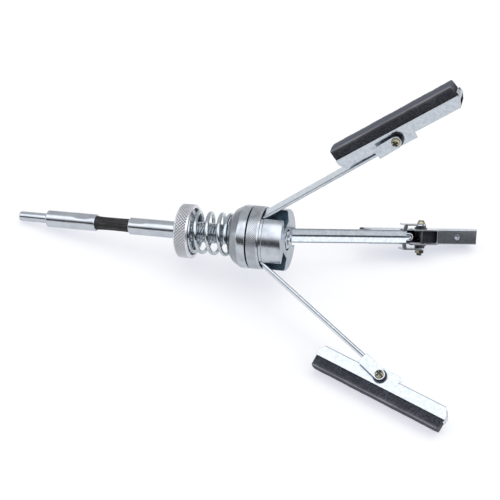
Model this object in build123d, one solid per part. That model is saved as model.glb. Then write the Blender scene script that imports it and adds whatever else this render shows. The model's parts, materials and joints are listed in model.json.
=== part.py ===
from build123d import *
import math
import os

# Cylinder hone with three spring-opened legs, lying on its shank tip and two stones.
# Everything is built in the tool frame: +X runs along the spindle from the shank tip,
# +Z is the first leg's outward direction, and a placement at the end lays the tool down.
# Stations along the tool end in _x, radii in _r, and all sizes are in millimetres.

# Fits
RUN = 0.06
SNUG = 0.02
GAP = 0.3

# Drive end
SHANK_R = 3.97
SHANK_LENGTH = 24.5
SHANK_CHAMFER = 0.8
SPIGOT_R = 3.3
FERRULE_R = 6.75
FERRULE_LENGTH = 43.0
FERRULE_CHAMFER = 1.3
SOCKET_DEPTH = 14.0
FLEX_LENGTH = 27.5
SLEEVE_R = 4.85
CABLE_R = 3.4

# Spindle
ROD_R = 6.7
ROD_LENGTH = 46.0
ROD_CHAMFER = 1.4
THREAD_R = 8.0
THREAD_PITCH = 2.0
STUD_R = 4.0
CENTRE_HOLE_R = 1.6

# Tension nut and thrust washer
NUT_R = 21.0
NUT_WIDTH = 11.1
NUT_CHAMFER = 0.9
NUT_LEAD = 2.2
NUT_RECESS_R = 17.9
NUT_RECESS_DEPTH = 4.4
NUT_MOUTH = 0.8
THRUST_WASHER_THICK = 1.5
NUT_TRAVEL = 12.0

# Spring
SPRING_R = 17.0
WIRE_R = 1.55
SPRING_PITCH = 9.4
END_TURNS = 0.75
END_PITCH = 3.3
SPRING_START = 110.0

# Pressure collar
COLLAR_LENGTH = 16.1
COLLAR_FACE_R = 16.4
COLLAR_CONE_R = 21.0
COLLAR_CONE_LENGTH = 3.7
COLLAR_R = 24.4
COLLAR_SHOULDER_LENGTH = 5.6
PUSH_SLEEVE_R = 12.0
HEAD_GAP = 0.8

# Head
HEAD_X = 197.4
HEAD_LENGTH = 27.0
HEAD_R = 23.8
RING_WIDTH = 9.6
RING_R = 24.2
RING_WALL = 2.0
RING_CHAMFER = 0.5
RING_MOUTH = 1.25
NECK_LENGTH = 2.6
NECK_R = 23.2
CUP_R = 8.0
CUP_DEPTH = 6.0
HUB_LENGTH = 13.0
SLOT_WIDTH = 13.0
SLOT_FLOOR_R = 12.7
RIM_CHAMFER = 0.6
HEAD_NUT_AF = 13.0
HEAD_NUT_HEIGHT = 5.0
HEAD_WASHER_R = 7.7
HEAD_WASHER_THICK = 1.4

# Legs
LEGS = ("upper", "front", "rear")
LEG_TURN = {"upper": 0.0, "front": 240.0, "rear": 120.0}
HEAD_SIDE = {"upper": -1, "front": 1, "rear": -1}
PIVOT_X = 200.6
PIVOT_R = 16.3
PIVOT_PIN_R = 2.0
ARM_ANGLE = 37.2
ARM_LENGTH = 138.3
FOLD_TRAVEL = 36.7
EYE_R = 3.0
HEEL_LENGTH = 6.0
HEEL_TIP_R = 1.6
HEEL_THICK = 2.3

# Arm strip with ears
SHEET = 1.2
STRIP_WIDTH = 11.3
STRIP_SEAM = 0.9
FOLD_R = 1.1
SEAM_FOLD_R = 0.7
NOSE_WIDTH = 6.8
STRIP_DROP = 3.7
TIP_BEHIND = 8.6
EAR_BEHIND = 17.6
EAR_R = 4.0
EAR_THICK = 1.3
BRIDGE_WIDTH = 2.6

# Holder and stone
STONE_LENGTH = 101.6
STONE_WIDTH = 10.6
STONE_FACE = 14.75
STONE_BACK = 2.6
STONE_CHAMFER = 0.5
STONE_OFFSET = 2.4
HOLDER_OVERHANG = 0.4
HOLDER_WALL = 0.95
HOLDER_RIM = 6.9
HOLDER_BACK = 2.1
HOLDER_CLIP = 4.0
HOLDER_BEND = 0.9
WINDOW_HALF = 14.5
LUG_DROP = 4.2
LUG_START = 10.0
LUG_END = 14.0
RELIEF_WIDTH = 0.8
PAD_S = 33.0
PAD_R = 2.9
END_TAB_TOP = 8.4
END_TAB_WIDTH = 6.0

# Swivel joint
SCREW_R = 2.1
SCREW_HEAD_R = 3.4
SCREW_HEAD_HEIGHT = 2.5
SCREW_TAIL = 5.0
SWIVEL_NUT_AF = 7.0
SWIVEL_NUT_HEIGHT = 2.9
FLAT_WASHER_R = 5.2
FLAT_WASHER_THICK = 0.8
SPRING_WASHER_R = 4.1
SWIVEL_ANGLE = {"upper": 34.3, "rear": 35.6}
STOP_ANGLE = -1.25

# Derived stations
ferrule_end_x = SHANK_LENGTH + FERRULE_LENGTH
rod_x = ferrule_end_x + FLEX_LENGTH
nut_x = rod_x + ROD_LENGTH - NUT_LEAD
thread_x = rod_x + ROD_LENGTH
nut_end_x = nut_x + NUT_WIDTH
recess_x = nut_end_x - NUT_RECESS_DEPTH
washer_x = recess_x + GAP
spring_x = washer_x + THRUST_WASHER_THICK
collar_end_x = HEAD_X - HEAD_GAP
collar_x = collar_end_x - COLLAR_LENGTH
cup_x = HEAD_X + HEAD_LENGTH - CUP_DEPTH
hub_x = cup_x - HUB_LENGTH
rim_x = HEAD_X + HEAD_LENGTH
ring_end_x = HEAD_X + RING_WIDTH
ring_bore_r = RING_R - RING_WALL
slot_half = SLOT_WIDTH / 2
strip_half = STRIP_WIDTH / 2
strip_thick = 2 * SHEET
stone_half = STONE_WIDTH / 2
channel_half = stone_half + 0.05
holder_half = channel_half + HOLDER_WALL
ear_in = holder_half + GAP + FLAT_WASHER_THICK + 1.9
ear_out = ear_in + EAR_THICK
strip_slope = math.degrees(math.asin(STRIP_DROP / ARM_LENGTH))
heel_angle = FOLD_TRAVEL / 2
heel_x = PIVOT_X + HEEL_LENGTH * math.sin(math.radians(heel_angle)) - HEEL_TIP_R
push_x = heel_x - GAP


def ring_solid(x0, x1, outer_r, inner_r=0.0):
    """A plain cylinder or tube along the tool between two stations."""
    body = Pos(x0, 0, 0) * Rot(0, 90, 0) * extrude(Circle(outer_r), x1 - x0)
    if inner_r:
        body -= Pos(x0 - 1, 0, 0) * Rot(0, 90, 0) * extrude(Circle(inner_r), x1 - x0 + 2)
    return body


def turned(points):
    """A solid turned about the tool axis from station and radius pairs."""
    outline = make_face(Polyline(*[(x, 0, r) for x, r in points], close=True))
    return revolve(outline, Axis.X, 360)


def hexagon_along(axis_rot, across, height):
    """A hexagonal prism, turned onto the wanted axis."""
    return axis_rot * extrude(RegularPolygon(across / 2, 6, major_radius=False), height)


def cross_bar(r, y0, y1):
    """A round bar along Y between two sides."""
    return Pos(0, y0, 0) * Rot(-90, 0, 0) * extrude(Circle(r), y1 - y0)


def block(x0, x1, y0, y1, z0, z1):
    """A box from its limits."""
    return Pos((x0 + x1) / 2, (y0 + y1) / 2, (z0 + z1) / 2) * Box(x1 - x0, y1 - y0, z1 - z0)


# Drive shank: a round bar with a spigot pushed into the ferrule
def drive_shank():
    end_x = SHANK_LENGTH + SOCKET_DEPTH
    return turned([
        (0, 0),
        (0, SHANK_R - SHANK_CHAMFER),
        (SHANK_CHAMFER, SHANK_R),
        (SHANK_LENGTH, SHANK_R),
        (SHANK_LENGTH, SPIGOT_R),
        (end_x, SPIGOT_R),
        (end_x, 0),
    ])


# Drive ferrule: shank socket on the left, cable socket on the right, crimped on both
def drive_ferrule():
    x0 = SHANK_LENGTH
    x1 = ferrule_end_x
    body = turned([
        (x0, 0),
        (x0, FERRULE_R - FERRULE_CHAMFER),
        (x0 + FERRULE_CHAMFER, FERRULE_R),
        (x1 - 0.5, FERRULE_R),
        (x1, FERRULE_R - 0.5),
        (x1, 0),
    ])
    body -= ring_solid(x0 - 1, x0 + SOCKET_DEPTH + GAP, SPIGOT_R + SNUG)
    body -= ring_solid(x1 - SOCKET_DEPTH - GAP, x1 + 1, CABLE_R + SNUG)
    return body


# Flexible section: steel cable with a black sleeve over its free length
def flexible_cable():
    return ring_solid(ferrule_end_x - SOCKET_DEPTH, rod_x + SOCKET_DEPTH, CABLE_R)


def cable_sleeve():
    return ring_solid(ferrule_end_x + 0.05, rod_x - 0.05, SLEEVE_R, CABLE_R + SNUG)


# Spindle: rod, thread, and the stud that carries the head
def spindle():
    stud_end_x = cup_x + HEAD_WASHER_THICK + HEAD_NUT_HEIGHT + 1.5
    body = turned([
        (rod_x, 0),
        (rod_x, ROD_R - ROD_CHAMFER),
        (rod_x + ROD_CHAMFER, ROD_R),
        (thread_x, ROD_R),
        (thread_x, THREAD_R - 0.8),
        (thread_x + 0.8, THREAD_R),
        (hub_x, THREAD_R),
        (hub_x, STUD_R),
        (stud_end_x - 0.7, STUD_R),
        (stud_end_x, STUD_R - 0.7),
        (stud_end_x, 0),
    ])
    body -= ring_solid(rod_x - 1, rod_x + SOCKET_DEPTH + GAP, CABLE_R + SNUG)
    body -= ring_solid(stud_end_x - 4, stud_end_x + 1, CENTRE_HOLE_R)
    return body


# Tension nut: knurled rim, spring recess on the head side
def tension_nut():
    c = NUT_CHAMFER
    mouth_x = nut_end_x - NUT_MOUTH
    return turned([
        (nut_x, THREAD_R + RUN),
        (nut_x, NUT_R - c),
        (nut_x + c, NUT_R),
        (nut_end_x - c, NUT_R),
        (nut_end_x, NUT_R - c),
        (nut_end_x, NUT_RECESS_R + NUT_MOUTH),
        (mouth_x, NUT_RECESS_R),
        (recess_x, NUT_RECESS_R),
        (recess_x, THREAD_R + RUN),
    ])


def thrust_washer():
    return ring_solid(washer_x, washer_x + THRUST_WASHER_THICK, NUT_RECESS_R - GAP, THREAD_R + RUN)


# Spring: open coils with a closed turn at each end
def spring_path():
    x0 = spring_x + WIRE_R + 0.05
    x1 = collar_x - WIRE_R - 0.05
    coil_r = SPRING_R - WIRE_R
    end_rise = END_TURNS * END_PITCH
    open_turns = (x1 - x0 - 2 * end_rise) / SPRING_PITCH
    turns = open_turns + 2 * END_TURNS
    count = round(turns * 16)
    points = []
    for i in range(count + 1):
        t = turns * i / count
        if t < END_TURNS:
            x = x0 + t * END_PITCH
        elif t < END_TURNS + open_turns:
            x = x0 + end_rise + (t - END_TURNS) * SPRING_PITCH
        else:
            x = x1 - (turns - t) * END_PITCH
        turn = math.radians(SPRING_START + 360 * t)
        points.append((x, coil_r * math.cos(turn), coil_r * math.sin(turn)))
    return Spline(*points)


def tension_spring():
    path = spring_path()
    section = Plane(origin=path @ 0, z_dir=path % 0) * Circle(WIRE_R)
    return sweep(section, path=path)


# Pressure collar: cone, rim, and the inner sleeve that pushes the arms' heels
def pressure_collar():
    cone_x = collar_x + COLLAR_CONE_LENGTH
    shoulder_x = cone_x + COLLAR_SHOULDER_LENGTH
    bore_r = THREAD_R + RUN
    return turned([
        (collar_x, bore_r),
        (collar_x, COLLAR_FACE_R),
        (cone_x, COLLAR_CONE_R),
        (shoulder_x, COLLAR_R - 0.3),
        (shoulder_x + 1.2, COLLAR_R),
        (collar_end_x - 0.4, COLLAR_R),
        (collar_end_x, COLLAR_R - 0.4),
        (collar_end_x, PUSH_SLEEVE_R),
        (push_x, PUSH_SLEEVE_R),
        (push_x, bore_r),
    ])


# Head body: hub on the stud, three solid sectors, three open slots, seat for the nut in front
def strip_line_r(x, angle, offset):
    """Radius of a line that runs parallel to the arm strip at the given height over it."""
    slope = math.radians(angle - strip_slope)
    return PIVOT_R + offset / math.cos(slope) + (x - PIVOT_X) * math.tan(slope)


def head_body():
    neck_end_x = ring_end_x + NECK_LENGTH
    stop_offset = strip_thick / 2 + GAP
    body = turned([
        (HEAD_X, PUSH_SLEEVE_R + 0.2),
        (HEAD_X, ring_bore_r - SNUG),
        (ring_end_x, ring_bore_r - SNUG),
        (ring_end_x, NECK_R),
        (neck_end_x - HEAD_R + NECK_R, NECK_R),
        (neck_end_x, HEAD_R),
        (rim_x - RIM_CHAMFER, HEAD_R),
        (rim_x, HEAD_R - RIM_CHAMFER),
        (rim_x, CUP_R),
        (cup_x, CUP_R),
        (cup_x, STUD_R + SNUG),
        (hub_x, STUD_R + SNUG),
        (hub_x, PUSH_SLEEVE_R + 0.2),
    ])
    eye_top_r = PIVOT_R + EYE_R + GAP
    eye_top_x = PIVOT_X + EYE_R / 2
    pocket = make_face(Polyline(
        (HEAD_X - 1, 0, 4),
        (HEAD_X - 1, 0, eye_top_r),
        (eye_top_x, 0, max(eye_top_r, strip_line_r(eye_top_x, ARM_ANGLE, stop_offset))),
        (ring_end_x - RING_MOUTH, 0, HEAD_R + 5),
        (rim_x + 1, 0, HEAD_R + 5),
        (rim_x + 1, 0, SLOT_FLOOR_R),
        (hub_x, 0, SLOT_FLOOR_R),
        (hub_x, 0, 4),
        close=True,
    ))
    pocket = Pos(0, -slot_half, 0) * extrude(pocket, -SLOT_WIDTH)
    if pocket.bounding_box().center().Y < -1:
        pocket = Pos(0, SLOT_WIDTH, 0) * pocket
    pin_hole = Pos(PIVOT_X, 0, PIVOT_R) * cross_bar(PIVOT_PIN_R + SNUG, -20, 20)
    for leg in LEGS:
        turn = Rot(-LEG_TURN[leg], 0, 0)
        body -= turn * pocket
        body -= turn * pin_hole
    return body


def knurled_ring():
    x0 = HEAD_X
    x1 = ring_end_x - SNUG
    c = RING_CHAMFER
    return turned([
        (x0, ring_bore_r),
        (x0, RING_R - c),
        (x0 + c, RING_R),
        (x1 - c, RING_R),
        (x1, RING_R - c),
        (x1, ring_bore_r + RING_MOUTH),
        (x1 - RING_MOUTH, ring_bore_r),
    ])


def arm_pivot_pins():
    half = math.sqrt(ring_bore_r ** 2 - (PIVOT_R + PIVOT_PIN_R) ** 2) - GAP
    pin = Pos(PIVOT_X, 0, PIVOT_R) * cross_bar(PIVOT_PIN_R, -half, half)
    return [Rot(-LEG_TURN[leg], 0, 0) * pin for leg in LEGS]


def head_washer():
    return ring_solid(cup_x + SNUG, cup_x + HEAD_WASHER_THICK, HEAD_WASHER_R, STUD_R + SNUG)


def head_nut():
    x0 = cup_x + HEAD_WASHER_THICK + SNUG
    nut = hexagon_along(Pos(x0, 0, 0) * Rot(0, 90, 0), HEAD_NUT_AF, HEAD_NUT_HEIGHT)
    corner_r = HEAD_NUT_AF / math.sqrt(3)
    crown = turned([
        (x0, 0),
        (x0, corner_r),
        (x0 + HEAD_NUT_HEIGHT - 0.7, corner_r),
        (x0 + HEAD_NUT_HEIGHT, corner_r - 1.3),
        (x0 + HEAD_NUT_HEIGHT, 0),
    ])
    return (nut & crown) - ring_solid(x0 - 1, x0 + HEAD_NUT_HEIGHT + 1, STUD_R + SNUG)


# Leg placement: an arm's own frame has X along the line from pivot to swivel pin
def arm_frame(leg, angle=ARM_ANGLE):
    turn = Location((0, 0, 0), (-LEG_TURN[leg], 0, 0))
    return turn * Location((PIVOT_X, 0, PIVOT_R), (0, -angle, 0))


def swivel_frame(leg, swivel):
    pin = Location((ARM_LENGTH, 0, 0), (0, ARM_ANGLE - swivel, 0))
    return arm_frame(leg) * pin


# Arm: folded strip, eye and heel at the root, two ears round the holder
section_plane = Plane(origin=(0, 0, 0), x_dir=(0, 1, 0), z_dir=(1, 0, 0))


def folded_section(width):
    """Half of the strip's section, from its middle plane: sheet folded to a seam."""
    half = strip_thick / 2
    seam = STRIP_SEAM / 2
    outline = make_face(Polyline(
        (0, half),
        (0, SHEET - half),
        (seam, SHEET - half),
        (seam, -half),
        (width / 2, -half),
        (width / 2, half),
        close=True,
    ))
    corners = outline.vertices()
    edge = [v for v in corners if v.X > width / 2 - 0.01]
    shoulder = [v for v in corners if abs(v.X - seam) < 0.01 and v.Y < 0.01 - half]
    outline = fillet(edge, FOLD_R)
    shoulder = [v for v in outline.vertices() if abs(v.X - seam) < 0.01 and v.Y < 0.01 - half]
    return fillet(shoulder, SEAM_FOLD_R)


def folded_run(width, x0, x1):
    """A length of folded strip."""
    half_run = extrude(folded_section(width), x1 - x0)
    run = half_run + mirror(half_run, Plane.YZ)
    return Pos(x0, 0, 0) * (section_plane * run)


def arm():
    half = strip_thick / 2
    nose_r = NOSE_WIDTH / 2
    nose_x = ARM_LENGTH - TIP_BEHIND - nose_r
    wide_end = ARM_LENGTH - EAR_BEHIND + BRIDGE_WIDTH
    strip = folded_run(STRIP_WIDTH, 0, wide_end)
    strip += folded_run(NOSE_WIDTH, wide_end - 0.5, nose_x)
    nose = Rot(90, 0, 0) * revolve(folded_section(NOSE_WIDTH), Axis.Y, 360)
    nose = nose & block(0, nose_r + 1, -nose_r - 1, nose_r + 1, -half - 1, half + 1)
    strip += Pos(nose_x, 0, 0) * nose
    strip += block(0, EYE_R + 3, -1, 1, -half, half)
    strip = Rot(0, strip_slope, 0) * strip
    body = strip + cross_bar(EYE_R, -strip_half, strip_half)
    heel_turn = ARM_ANGLE - heel_angle
    heel = block(-HEEL_THICK / 2, HEEL_THICK / 2, -strip_half, strip_half, -HEEL_LENGTH, 0)
    heel += Pos(0, 0, -HEEL_LENGTH) * cross_bar(HEEL_TIP_R, -strip_half, strip_half)
    body += Rot(0, heel_turn, 0) * heel
    body -= cross_bar(PIVOT_PIN_R + RUN, -strip_half - 1, strip_half + 1)
    low = -STRIP_DROP - half
    ear_plate = make_face(Polyline(
        (ARM_LENGTH - EAR_BEHIND, 0, low),
        (ARM_LENGTH - EAR_BEHIND, 0, EAR_R),
        (ARM_LENGTH, 0, EAR_R),
        (ARM_LENGTH, 0, low),
        close=True,
    ))
    for side in (-1, 1):
        ear = extrude(ear_plate, EAR_THICK)
        ear = Pos(0, ear_in - ear.bounding_box().min.Y, 0) * ear
        ear += Pos(ARM_LENGTH, 0, 0) * cross_bar(EAR_R, ear_in, ear_out)
        outline = make_face(Polyline(
            (ARM_LENGTH - EAR_BEHIND - 1.2, strip_half - FOLD_R, 0),
            (ARM_LENGTH - EAR_BEHIND + BRIDGE_WIDTH - 0.6, strip_half - FOLD_R, 0),
            (ARM_LENGTH - EAR_BEHIND + BRIDGE_WIDTH + 0.6, ear_in + 0.1, 0),
            (ARM_LENGTH - EAR_BEHIND, ear_in + 0.1, 0),
            close=True,
        ))
        bridge = Pos(0, 0, low) * extrude(outline, SHEET)
        if bridge.bounding_box().min.Z < low - 0.1:
            bridge = Pos(0, 0, SHEET) * bridge
        part = ear + bridge
        body += part if side > 0 else mirror(part, Plane.XZ)
    body -= Pos(ARM_LENGTH, 0, 0) * cross_bar(SCREW_R + SNUG, -20, 20)
    return body


# Stone holder: channel with a window behind the pin, two pressed pads and an end tab
def stone_holder():
    s0 = STONE_OFFSET - STONE_LENGTH / 2 - HOLDER_OVERHANG
    s1 = STONE_OFFSET + STONE_LENGTH / 2 + 0.15 + HOLDER_WALL
    back = -HOLDER_BACK
    body = block(s0, s1, -holder_half, holder_half, back, HOLDER_RIM)
    body = fillet(body.edges().filter_by(Axis.X).group_by(Axis.Z)[0], HOLDER_BEND)
    body -= block(s0 - 1, s1 + 1, -channel_half, channel_half, back + HOLDER_WALL, HOLDER_RIM + 1)
    for end_s, into in ((s0, 1), (s1, -1)):
        clip = make_face(Polyline(
            (end_s - into, -20, back - 1),
            (end_s + into * HOLDER_CLIP, -20, back - 1),
            (end_s + into * (HOLDER_CLIP - 1), -20, back),
            (end_s, -20, back + HOLDER_CLIP * 1.3),
            (end_s - into, -20, back + HOLDER_CLIP * 1.3),
            close=True,
        ))
        cutter = extrude(clip, 40, both=True)
        body -= cutter
    window = channel_half - 0.5
    body -= block(-WINDOW_HALF, WINDOW_HALF, -window, window, back - 1, back + HOLDER_WALL + 1)
    for side in (-1, 1):
        y0, y1 = sorted((side * channel_half, side * holder_half))
        lug_low = back - LUG_DROP
        outline = make_face(Polyline(
            (-LUG_START, y0, back + HOLDER_BEND + 0.2),
            (-LUG_START, y0, back),
            (1.2 - LUG_START, y0, lug_low),
            (LUG_END - 0.8, y0, lug_low),
            (LUG_END, y0, back),
            (LUG_END, y0, back + HOLDER_BEND + 0.2),
            close=True,
        ))
        lug = extrude(outline, HOLDER_WALL)
        body += Pos(0, y0 - lug.bounding_box().min.Y, 0) * lug
        body -= block(LUG_END, LUG_END + RELIEF_WIDTH, y0 - 1, y1 + 1, back - 1, back + HOLDER_BEND)
    pad_top = STONE_BACK - 0.05
    for pad_s in (-PAD_S, PAD_S):
        body += Pos(pad_s, 0, back) * extrude(Circle(PAD_R), pad_top - back)
        body -= Pos(pad_s, 0, back - 1) * extrude(Circle(PAD_R - HOLDER_WALL), pad_top - back - 0.1)
    tab_low = back + HOLDER_CLIP * 1.3
    tab_half = END_TAB_WIDTH / 2
    tab = block(s1 - HOLDER_WALL, s1, -channel_half - 0.2, channel_half + 0.2, tab_low, HOLDER_RIM - 1)
    tab += block(s1 - HOLDER_WALL, s1, -tab_half, tab_half, tab_low, END_TAB_TOP)
    body += tab
    body -= cross_bar(SCREW_R + RUN, -20, 20)
    return body


def abrasive_stone():
    lift = STONE_FACE - STONE_BACK
    outline = Polyline(
        (0, -stone_half, STONE_BACK),
        (0, stone_half, STONE_BACK),
        (0, stone_half, STONE_FACE - STONE_CHAMFER),
        (0, stone_half - STONE_CHAMFER, STONE_FACE),
        (0, -stone_half + STONE_CHAMFER, STONE_FACE),
        (0, -stone_half, STONE_FACE - STONE_CHAMFER),
        close=True,
    )
    bar = extrude(make_face(outline), STONE_LENGTH)
    middle = bar.bounding_box().center()
    return Pos(STONE_OFFSET - middle.X, 0, STONE_BACK + lift / 2 - middle.Z) * bar


# Swivel joint pieces, built with the screw head on the +Y side
def swivel_screw():
    head_y = ear_out + 0.05
    tail_y = -ear_out - SCREW_TAIL
    shank = cross_bar(SCREW_R, tail_y, head_y + 0.1)
    outline = make_face(Polyline(
        (0, head_y, 0),
        (SCREW_HEAD_R, head_y, 0),
        (SCREW_HEAD_R, head_y + SCREW_HEAD_HEIGHT * 0.45, 0),
        (SCREW_HEAD_R * 0.8, head_y + SCREW_HEAD_HEIGHT * 0.85, 0),
        (SCREW_HEAD_R * 0.45, head_y + SCREW_HEAD_HEIGHT, 0),
        (0, head_y + SCREW_HEAD_HEIGHT, 0),
        close=True,
    ))
    head = revolve(outline, Axis.Y, 360)
    arm_long = SCREW_HEAD_R * 0.58
    recess_y = head_y + SCREW_HEAD_HEIGHT - 1.3
    cross = block(-arm_long, arm_long, recess_y, recess_y + 3, -0.5, 0.5)
    cross += block(-0.5, 0.5, recess_y, recess_y + 3, -arm_long, arm_long)
    return shank + head - cross


def swivel_nut():
    nut_y = -ear_out - 0.05
    nut = hexagon_along(Pos(0, nut_y, 0) * Rot(90, 0, 0), SWIVEL_NUT_AF, SWIVEL_NUT_HEIGHT)
    return nut - cross_bar(SCREW_R + SNUG, nut_y - SWIVEL_NUT_HEIGHT - 1, nut_y + 1)


def swivel_washers():
    flat_y = holder_half + GAP
    spring_y = flat_y + FLAT_WASHER_THICK + 0.05
    rings = []
    for side in (-1, 1):
        flat = cross_bar(FLAT_WASHER_R, flat_y, flat_y + FLAT_WASHER_THICK)
        curled = cross_bar(SPRING_WASHER_R, spring_y, ear_in - 0.05)
        for ring in (flat, curled):
            ring -= cross_bar(SCREW_R + SNUG, 0, 20)
            rings.append(ring if side > 0 else mirror(ring, Plane.XZ))
    return rings


# Lying down: the floor touches the shank tip, the front stone's long edge, a rear stone corner
def stone_corners(frame):
    half = STONE_LENGTH / 2
    corners = []
    for s in (STONE_OFFSET - half, STONE_OFFSET + half):
        for side in (-1, 1):
            edge = stone_half - STONE_CHAMFER
            corners.append((frame * Pos(s, side * stone_half, STONE_FACE - STONE_CHAMFER)).position)
            corners.append((frame * Pos(s, side * edge, STONE_FACE)).position)
    return corners


def resting_attitude():
    """The floor's normal in the tool frame, a point on it, and the front holder's angle."""
    up = Vector(0.2, 0, 0.98).normalized()
    tool = Vector(1, 0, 0)
    front_out = (Location((0, 0, 0), (-LEG_TURN["front"], 0, 0)) * Pos(0, 0, 1)).position
    rear = stone_corners(swivel_frame("rear", SWIVEL_ANGLE["rear"]))
    for _ in range(40):
        front_swivel = math.degrees(math.atan2(tool.dot(up), -front_out.dot(up)))
        front = stone_corners(swivel_frame("front", front_swivel))
        across = (up - tool * tool.dot(up)).normalized()
        tip = tool * SHANK_CHAMFER - across * SHANK_R
        low_front = min(front, key=lambda p: p.dot(up))
        low_rear = min(rear, key=lambda p: p.dot(up))
        normal = (low_front - tip).cross(low_rear - tip).normalized()
        if normal.Z < 0:
            normal = normal * -1
        up = (up + normal).normalized()
    return up, tip, front_swivel


floor_up, floor_point, front_swivel = resting_attitude()
SWIVEL_ANGLE["front"] = front_swivel
forward = (Vector(1, 0, 0) - floor_up * floor_up.X).normalized()
tool_on_floor = Plane(origin=floor_point, x_dir=forward, z_dir=floor_up)
lie_down = tool_on_floor.location.inverse()

# All nodes in the tool frame
nodes = {
    "drive_shank": drive_shank(),
    "drive_ferrule": drive_ferrule(),
    "flexible_cable": flexible_cable(),
    "cable_sleeve": cable_sleeve(),
    "spindle": spindle(),
    "tension_nut": tension_nut(),
    "thrust_washer": thrust_washer(),
    "tension_spring": tension_spring(),
    "pressure_collar": pressure_collar(),
    "head_body": head_body(),
    "knurled_ring": knurled_ring(),
    "arm_pivot_pins": arm_pivot_pins(),
    "head_washer": head_washer(),
    "head_nut": head_nut(),
}
arm_shape = arm()
holder_shape = stone_holder()
stone_shape = abrasive_stone()
screw_shapes = {1: swivel_screw(), -1: mirror(swivel_screw(), Plane.XZ)}
nut_shapes = {1: swivel_nut(), -1: mirror(swivel_nut(), Plane.XZ)}
washer_shapes = swivel_washers()
for leg in LEGS:
    side = HEAD_SIDE[leg]
    at_pin = arm_frame(leg) * Pos(ARM_LENGTH, 0, 0)
    swung = swivel_frame(leg, SWIVEL_ANGLE[leg])
    nodes[leg + "_arm"] = arm_frame(leg) * arm_shape
    nodes[leg + "_stone_holder"] = swung * holder_shape
    nodes[leg + "_stone"] = swung * stone_shape
    nodes[leg + "_swivel_screw"] = at_pin * screw_shapes[side]
    nodes[leg + "_swivel_nut"] = at_pin * nut_shapes[side]
    nodes[leg + "_swivel_washers"] = [at_pin * ring for ring in washer_shapes]


def gathered(shape):
    """One shape from a solid or from a list of separate solids."""
    return Compound(children=list(shape)) if isinstance(shape, list) else shape


# Row frame: floor at z = 0, and the middle of the footprint at x = y = 0
placed = {name: lie_down * gathered(shape) for name, shape in nodes.items()}
boxes = [shape.bounding_box() for shape in placed.values()]
mid_x = (min(b.min.X for b in boxes) + max(b.max.X for b in boxes)) / 2
mid_y = (min(b.min.Y for b in boxes) + max(b.max.Y for b in boxes)) / 2
low_z = min(b.min.Z for b in boxes)
row_frame = Pos(-mid_x, -mid_y, -low_z) * lie_down

os.makedirs("parts", exist_ok=True)
for name, shape in nodes.items():
    export_step(row_frame * gathered(shape), "parts/" + name + ".step")
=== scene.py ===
"""Cylinder hone with three sprung legs, lying on its shank tip and two stones.

Every size is in millimetres in the tool frame: x runs along the spindle from the shank
tip, and an angle of 0 round it points along the upper leg.
"""
import json
import logging
import math
from dataclasses import dataclass
from enum import Enum
from typing import Callable, Sequence

import bmesh
import bpy
import numpy as np
from bpy.types import (ID, Material, Mesh, Node, NodeSocket, NodeTree, Object, bpy_prop_collection)
from mathutils import Matrix


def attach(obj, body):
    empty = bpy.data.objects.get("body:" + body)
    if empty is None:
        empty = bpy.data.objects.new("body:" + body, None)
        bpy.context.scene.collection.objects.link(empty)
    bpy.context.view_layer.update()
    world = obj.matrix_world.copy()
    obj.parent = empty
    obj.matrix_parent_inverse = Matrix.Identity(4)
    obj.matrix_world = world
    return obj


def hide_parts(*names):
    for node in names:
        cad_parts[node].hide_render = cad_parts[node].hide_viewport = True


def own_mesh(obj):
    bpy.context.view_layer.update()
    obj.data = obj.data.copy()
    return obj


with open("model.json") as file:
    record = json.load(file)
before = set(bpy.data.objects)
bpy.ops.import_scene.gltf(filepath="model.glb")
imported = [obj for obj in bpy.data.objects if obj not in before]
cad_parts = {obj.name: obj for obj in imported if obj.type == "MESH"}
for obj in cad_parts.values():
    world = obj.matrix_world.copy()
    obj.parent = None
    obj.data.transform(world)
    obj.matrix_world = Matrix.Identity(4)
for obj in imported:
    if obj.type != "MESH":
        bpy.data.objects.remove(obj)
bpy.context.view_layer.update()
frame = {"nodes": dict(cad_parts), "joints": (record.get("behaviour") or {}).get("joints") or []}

MM = 0.001
RIDE_CORE = "spindle_and_head"
LOG = logging.getLogger("hone")
Array = np.ndarray
Pair = tuple[float, float]
Triple = tuple[float, float, float]
Quad = tuple[float, float, float, float]
Line = Sequence[Pair]
Relief = Callable[[Array, Array, Array], Array]


class Leg(Enum):
    """The three legs, by the names of their CAD nodes."""

    UPPER = "upper"
    FRONT = "front"
    REAR = "rear"


class Side(Enum):
    """Which way a swivel screw goes in, along the leg's cross direction."""

    MINUS = -1
    PLUS = 1


class Look(Enum):
    """The finishes, by the names of their materials."""

    SHEET = "bright_zinc_plated_sheet"
    BAR = "zinc_plated_bar"
    TURNED = "turned_zinc_plated_steel"
    KNURLED = "knurled_nickel_steel"
    FACED = "faced_steel"
    OILED = "oiled_slot_steel"
    WIRE = "plated_spring_wire"
    YELLOW = "yellow_zinc_screws"
    DARK = "burnt_spring_washers"
    SHEARED = "sheared_sheet_edges"
    SLEEVE = "black_cable_sleeve"
    STONE = "dark_abrasive_stone"


Looks = dict[Look, Material]
HEAD_SIDE = {Leg.UPPER: Side.MINUS, Leg.FRONT: Side.PLUS, Leg.REAR: Side.MINUS}
WEAR_START = {Leg.UPPER: 0.3, Leg.FRONT: 1.9, Leg.REAR: 4.1}
STOP_ANGLE = 1.25  # between a holder and the line from pivot to pin, at the swivel's lower limit


def joint(name: str) -> dict:
    """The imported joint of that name."""
    return next(j for j in frame["joints"] if j["name"] == name)


def unit(v: Array) -> Array:
    """The vector at length one."""
    return v / np.linalg.norm(v)


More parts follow.
